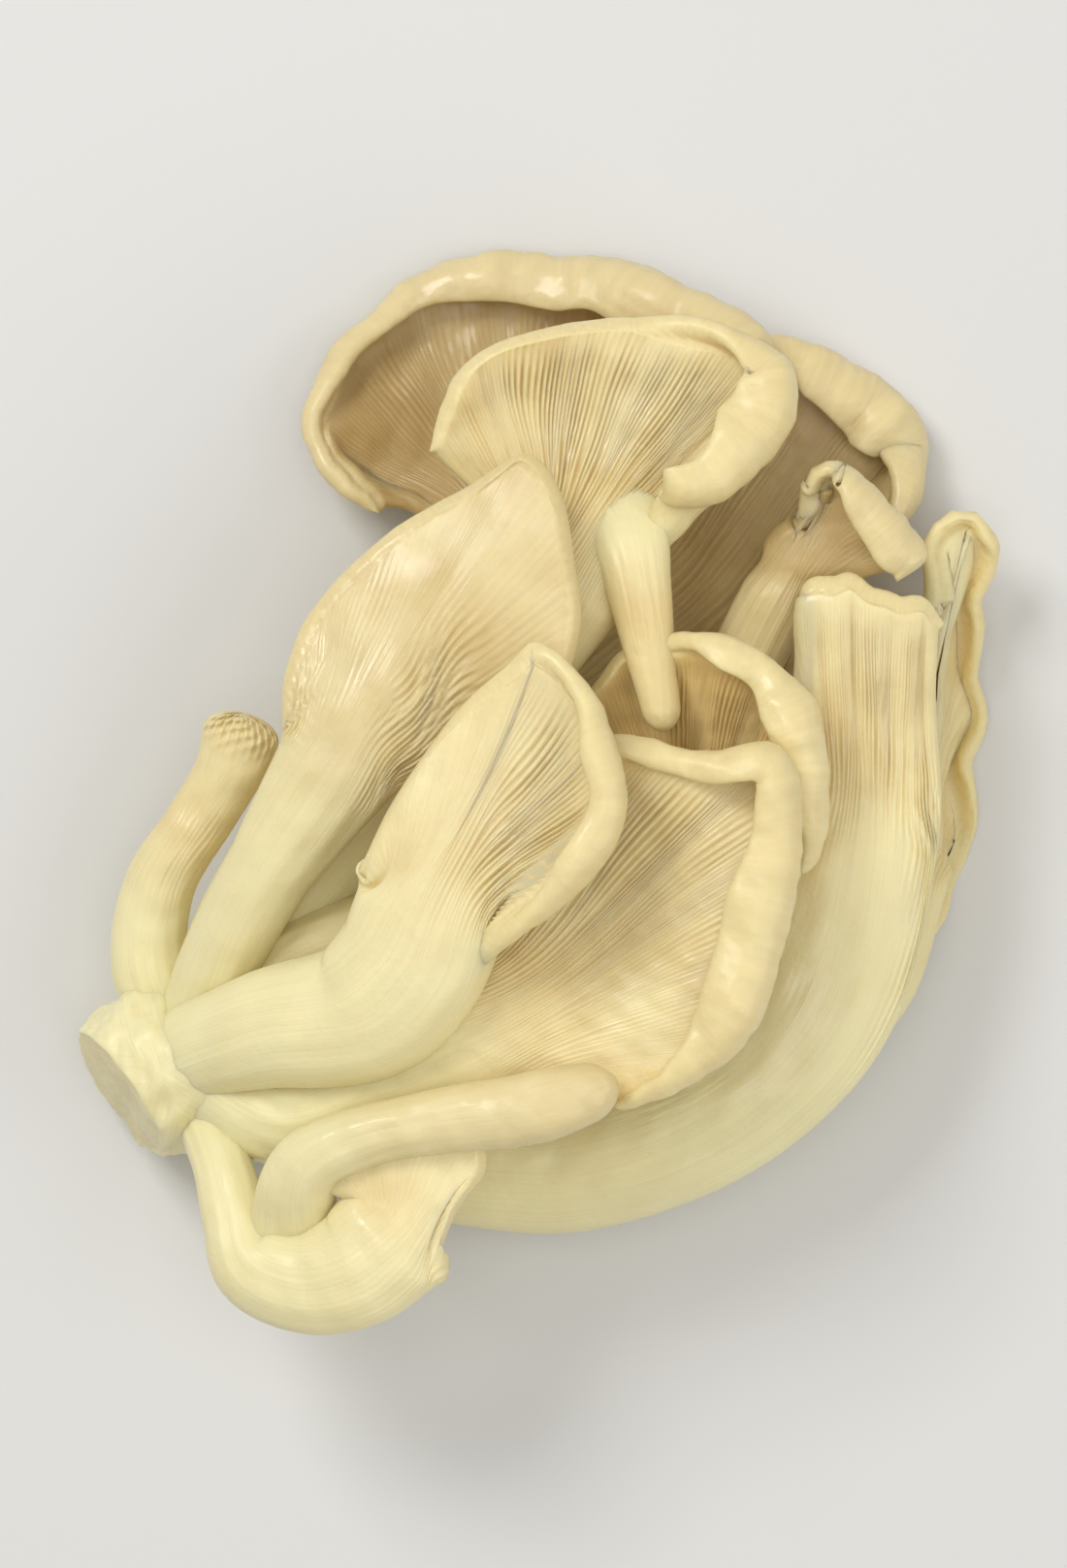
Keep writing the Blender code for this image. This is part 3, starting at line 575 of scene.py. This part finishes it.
@dataclass(frozen=True)
class Foot:
    """Shared foot of the stems, with the face where the cluster was cut off."""

    name: str = "foot"
    centre: tuple[float, float, float] = (-37.0, -29.5, 11.0)
    radii: tuple[float, float, float] = (9.5, 8.5, 12.5)
    cut: tuple[float, float, float] = (-0.80, -0.55, 0.25)
    cut_at: float = 5.6

    def build(self) -> bpy.types.Object:
        """Model the foot.

        Returns:
            The finished piece.
        """
        bpy.ops.object.select_all(action="DESELECT")
        bpy.ops.mesh.primitive_ico_sphere_add(subdivisions=6, radius=1.0, calc_uvs=True)
        obj = bpy.context.object
        obj.name = obj.data.name = self.name
        mesh = obj.data
        flat = np.empty(len(mesh.vertices) * 3, np.float32)
        mesh.vertices.foreach_get("co", flat)
        p = flat.reshape(-1, 3).astype(float) * np.array(self.radii)
        cut = unit(np.array(self.cut))
        p = p * (1 + 0.05 * lumps(p * 1.6, 41, 1.0))[:, None]
        over = p @ cut - self.cut_at
        sliced = ease(over, 0.0, 0.6)
        p = p - cut * (np.maximum(over, 0) * 0.96)[:, None]
        out = unit(p)
        p = p + out * ((1 - sliced) * (lumps(p, 43, 0.3, 0.9) + lumps(p, 44, 0.1, 2.8)))[:, None]
        p = p - cut * (sliced * lumps(p, 45, 0.12, 1.6))[:, None]
        p = p + np.array(self.centre)
        p[:, 2] = np.maximum(p[:, 2], 0.0)
        mesh.vertices.foreach_set("co", ((p + SHIFT) * MM).astype(np.float32).ravel())
        none = sliced * 0
        # The cut face is darkened a little towards the colour between the gills.
        for name, value in (("gap", sliced * 0.35), ("margin", none), ("length", none)):
            layer = mesh.attributes.new(name, "FLOAT", "POINT")
            layer.data.foreach_set("value", value.astype(np.float32))
        mesh.polygons.foreach_set("use_smooth", [True] * len(mesh.polygons))
        return obj


def linear(colour: str) -> tuple[float, float, float, float]:
    """Turn an sRGB hex colour into linear values.

    Args:
        colour: six hex digits after a hash.

    Returns:
        Red, green, blue and an alpha of one.
    """
    parts = [int(colour[i:i + 2], 16) / 255 for i in (1, 3, 5)]
    r, g, b = [v / 12.92 if v <= 0.04045 else ((v + 0.055) / 1.055)**2.4 for v in parts]
    return r, g, b, 1.0


def add(tree: bpy.types.NodeTree, kind: str, settings: dict | None = None,
        **links: object) -> bpy.types.Node:
    """Add a node.

    Args:
        tree: the node tree.
        kind: the node's type.
        settings: properties, and values of sockets given by name or index.
        links: sockets to link, as input name and output socket; a leading
            i and digits name an input by its index.

    Returns:
        The new node.
    """
    node = tree.nodes.new(kind)
    for key, value in (settings or {}).items():
        if isinstance(key, int):
            node.inputs[key].default_value = value
        elif hasattr(node, key):
            setattr(node, key, value)
        else:
            node.inputs[key].default_value = value
    for key, source in links.items():
        where = int(key[1:]) if key[0] == "i" and key[1:].isdigit() else key.replace("_", " ")
        tree.links.new(source, node.inputs[where])
    return node


@dataclass(frozen=True)
class Flesh:
    """Raw oyster mushroom flesh: moist, pale, fibrous, and it lets light in."""

    name: str
    light: str
    dark: str
    gill_gap_shade: str                     # painted shade in the gaps between the gills
    margin: str                     # on the rolled margin
    stem: str = "#f2ebba"           # on the stem, which stays paler than the cap
    roughness: float = 0.42
    blotch: float = 70.0            # 1/m, patches of about 14 mm
    wet: float = 130.0              # 1/m, wet patches of about 8 mm
    grain: float = 900.0            # 1/m, fine mottling of about 1 mm
    fibres_across: float = 900.0    # fibres across the wrapped skin
    fibres_along: float = 5.0       # and lengths of them from foot to margin

    def material(self) -> bpy.types.Material:
        """Make the material.

        Returns:
            The material.
        """
        mat = bpy.data.materials.new(self.name)
        mat.use_nodes = True
        tree = mat.node_tree
        tree.nodes.clear()
        place = add(tree, "ShaderNodeTexCoord")
        patches = add(tree, "ShaderNodeTexNoise", {"Scale": self.blotch, "Detail": 4.0,
                                                   "Roughness": 0.55},
                      Vector=place.outputs["Object"])
        soft = add(tree, "ShaderNodeMapRange", {"From Min": 0.36, "From Max": 0.66},
                   Value=patches.outputs["Fac"])
        base = add(tree, "ShaderNodeMix", {"data_type": "RGBA", 6: linear(self.light),
                                           7: linear(self.dark)},
                   i0=soft.outputs["Result"])
        gap = add(tree, "ShaderNodeAttribute", {"attribute_name": "gap"})
        along = add(tree, "ShaderNodeAttribute", {"attribute_name": "length"})
        lower = add(tree, "ShaderNodeMapRange", {"From Min": 0.75, "From Max": 1.25,
                                                 "To Min": 0.65, "To Max": 0.0},
                    Value=along.outputs["Fac"])
        fresh = add(tree, "ShaderNodeMix", {"data_type": "RGBA", 7: linear(self.stem)},
                    i0=lower.outputs["Result"], i6=base.outputs[2])
        # Painted shade: the colour darkens in the gaps between the gills, as far as the gap mask
        # goes.
        shade = add(tree, "ShaderNodeMath", {"operation": "MULTIPLY", 1: 0.45},
                    i0=gap.outputs["Fac"])
        gap_shaded = add(tree, "ShaderNodeMix", {"data_type": "RGBA", 7: linear(self.gill_gap_shade)},
                      i0=shade.outputs["Value"], i6=fresh.outputs[2])
        edge = add(tree, "ShaderNodeAttribute", {"attribute_name": "margin"})
        tint = add(tree, "ShaderNodeMath", {"operation": "MULTIPLY", 1: 0.75},
                   i0=edge.outputs["Fac"])
        edged = add(tree, "ShaderNodeMix", {"data_type": "RGBA", 7: linear(self.margin)},
                    i0=tint.outputs["Value"], i6=gap_shaded.outputs[2])
        strands = add(tree, "ShaderNodeMapping",
                      {"Scale": (self.fibres_across / 6, self.fibres_along, 1.0)},
                      Vector=place.outputs["UV"])
        fibre = add(tree, "ShaderNodeTexNoise", {"Scale": 1.0, "Detail": 6.0, "Roughness": 0.62},
                    Vector=strands.outputs["Vector"])
        grain = add(tree, "ShaderNodeTexNoise", {"Scale": self.grain, "Detail": 3.0},
                    Vector=place.outputs["Object"])
        streak = add(tree, "ShaderNodeMapRange", {"From Min": 0.3, "From Max": 0.7,
                                                  "To Min": 0.93, "To Max": 1.04},
                     Value=fibre.outputs["Fac"])
        toned = add(tree, "ShaderNodeMix", {"data_type": "RGBA", "blend_type": "MULTIPLY",
                                            0: 1.0},
                    i6=edged.outputs[2], i7=streak.outputs["Result"])
        height = add(tree, "ShaderNodeMath", {"operation": "MULTIPLY_ADD", 1: 0.55},
                     i0=fibre.outputs["Fac"], i2=grain.outputs["Fac"])
        bump = add(tree, "ShaderNodeBump", {"Strength": 0.35, "Distance": 0.0003},
                   Height=height.outputs["Value"])
        gloss = add(tree, "ShaderNodeMapRange", {"To Min": self.roughness - 0.14,
                                                 "To Max": self.roughness + 0.16},
                    Value=grain.outputs["Fac"])
        damp = add(tree, "ShaderNodeTexNoise", {"Scale": self.wet, "Detail": 2.0},
                   Vector=place.outputs["Object"])
        film = add(tree, "ShaderNodeMapRange", {"From Min": 0.5, "From Max": 0.68,
                                                "To Min": 0.08, "To Max": 0.55},
                   Value=damp.outputs["Fac"])
        shader = add(tree, "ShaderNodeBsdfPrincipled",
                     {"IOR": 1.4, "Subsurface Weight": 0.35, "Subsurface Scale": 0.003,
                      "Subsurface Radius": (1.0, 0.72, 0.38), "Coat Roughness": 0.14},
                     Base_Color=toned.outputs[2], Roughness=gloss.outputs["Result"],
                     Coat_Weight=film.outputs["Result"], Normal=bump.outputs["Normal"])
        add(tree, "ShaderNodeOutputMaterial", Surface=shader.outputs["BSDF"])
        return mat


# Darker copies of the flesh paint the shade on the caps at the back, the inner fan and the fold;
# the mid cap's duller tone is its own.
FINISHES = {"far_cap": Finish.SHADED, "back_cap": Finish.SHADED, "upright": Finish.SHADED,
            "inner_fan": Finish.GOLDEN, "mid_cap": Finish.GREYISH, "fold": Finish.GREYISH}
# Colours: light and dark flesh, painted shade between the gills, rolled margin.
FLESH = {
    Finish.CREAM: Flesh("flesh_cream", "#f2e4b0", "#e6d096", "#b8954f", "#e9d7a0"),
    Finish.GOLDEN: Flesh("flesh_golden_shade", "#edd392", "#dcbb72", "#a67d38", "#efe0ad"),
    Finish.GREYISH: Flesh("flesh_greyish", "#e9d9a6", "#dac288", "#b59558", "#e3d09b"),
    Finish.SHADED: Flesh("flesh_shaded", "#d3bc85", "#b99b62", "#8c6a36", "#ecdba8"),
}


@dataclass
class Cluster:
    """The whole growth: fruiting bodies and the foot they share."""

    bodies: tuple[Mushroom, ...] = CLUSTER
    foot: Foot = field(default_factory=Foot)

    def build(self) -> list[bpy.types.Object]:
        """Model, dress and place every piece.

        Returns:
            The pieces.
        """
        skins = {kind: flesh.material() for kind, flesh in FLESH.items()}
        pieces = []
        for body in self.bodies:
            skin = skins[FINISHES.get(body.name, Finish.CREAM)]
            pieces.append(self.dress(body.build(), skin))
        pieces.append(self.dress(self.foot.build(), skins[Finish.CREAM]))
        return pieces

    def dress(self, piece: bpy.types.Object, skin: bpy.types.Material) -> bpy.types.Object:
        """Give a piece its material and tie it to the solid it stands for.

        Args:
            piece: the modelled piece.
            skin: its material.

        Returns:
            The same piece.
        """
        piece.data.materials.clear()
        piece.data.materials.append(skin)
        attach(piece, "root")
        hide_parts(NODE)
        LOG.info("%s: %d faces", piece.name, len(piece.data.polygons))
        return piece


@dataclass
class Studio:
    """Plain floor, soft lamps and a camera straight above."""

    view_width: float = 0.107       # m, width of the picture at the caps
    distance: float = 0.60
    aim: tuple[float, float, float] = (0.0, 0.0, 0.02)

    def build(self) -> None:
        """Set up the floor, the lamps and the camera."""
        self.floor()
        self.lamp("key", (-0.35, 0.40, 0.60), 0.30, 3.0)
        self.lamp("fill", (0.50, -0.20, 0.50), 0.60, 1.6)
        self.lamp("top", (0.0, 0.0, 0.90), 0.50, 1.6)
        world = bpy.data.worlds.new("studio")
        bpy.context.scene.world = world
        world.use_nodes = True
        world.node_tree.nodes["Background"].inputs["Color"].default_value = linear("#f4f3f0")
        world.node_tree.nodes["Background"].inputs["Strength"].default_value = 0.42
        bpy.context.scene.view_settings.view_transform = "Standard"
        self.camera()

    def floor(self) -> None:
        """Lay the plain pale floor."""
        bpy.ops.object.select_all(action="DESELECT")
        bpy.ops.mesh.primitive_plane_add(size=4.0)
        floor = bpy.context.object
        floor.name = "floor"
        mat = bpy.data.materials.new("floor_matt_white")
        mat.use_nodes = True
        shader = mat.node_tree.nodes["Principled BSDF"]
        shader.inputs["Base Color"].default_value = linear("#dcdbd8")
        shader.inputs["Roughness"].default_value = 0.8
        floor.data.materials.append(mat)

    def lamp(self, name: str, place: tuple[float, float, float], size: float,
             power: float) -> None:
        """Hang a soft lamp that faces the cluster.

        Args:
            name: the lamp's name.
            place: where it hangs, in metres.
            size: width of its panel in metres.
            power: its power in watts.
        """
        bpy.ops.object.light_add(type="AREA", location=place)
        lamp = bpy.context.object
        lamp.name = name
        lamp.data.size = size
        lamp.data.energy = power
        aim = bpy.data.objects["floor"].matrix_world.translation - lamp.location
        lamp.rotation_euler = aim.to_track_quat("-Z", "Y").to_euler()

    def camera(self) -> None:
        """Hang the camera straight above, as in the photograph."""
        x, y, z = self.aim
        bpy.ops.object.camera_add(location=(x, y, z + self.distance), rotation=(0, 0, 0))
        camera = bpy.context.object
        camera.data.sensor_fit = "HORIZONTAL"
        camera.data.lens = camera.data.sensor_width * self.distance / self.view_width
        camera.data.clip_start = 0.01
        bpy.context.scene.camera = camera


def main() -> None:
    """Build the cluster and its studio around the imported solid."""
    logging.basicConfig(level=logging.INFO, format="%(message)s")
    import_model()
    Cluster().build()
    Studio().build()
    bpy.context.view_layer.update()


if __name__ == "__main__":
    main()
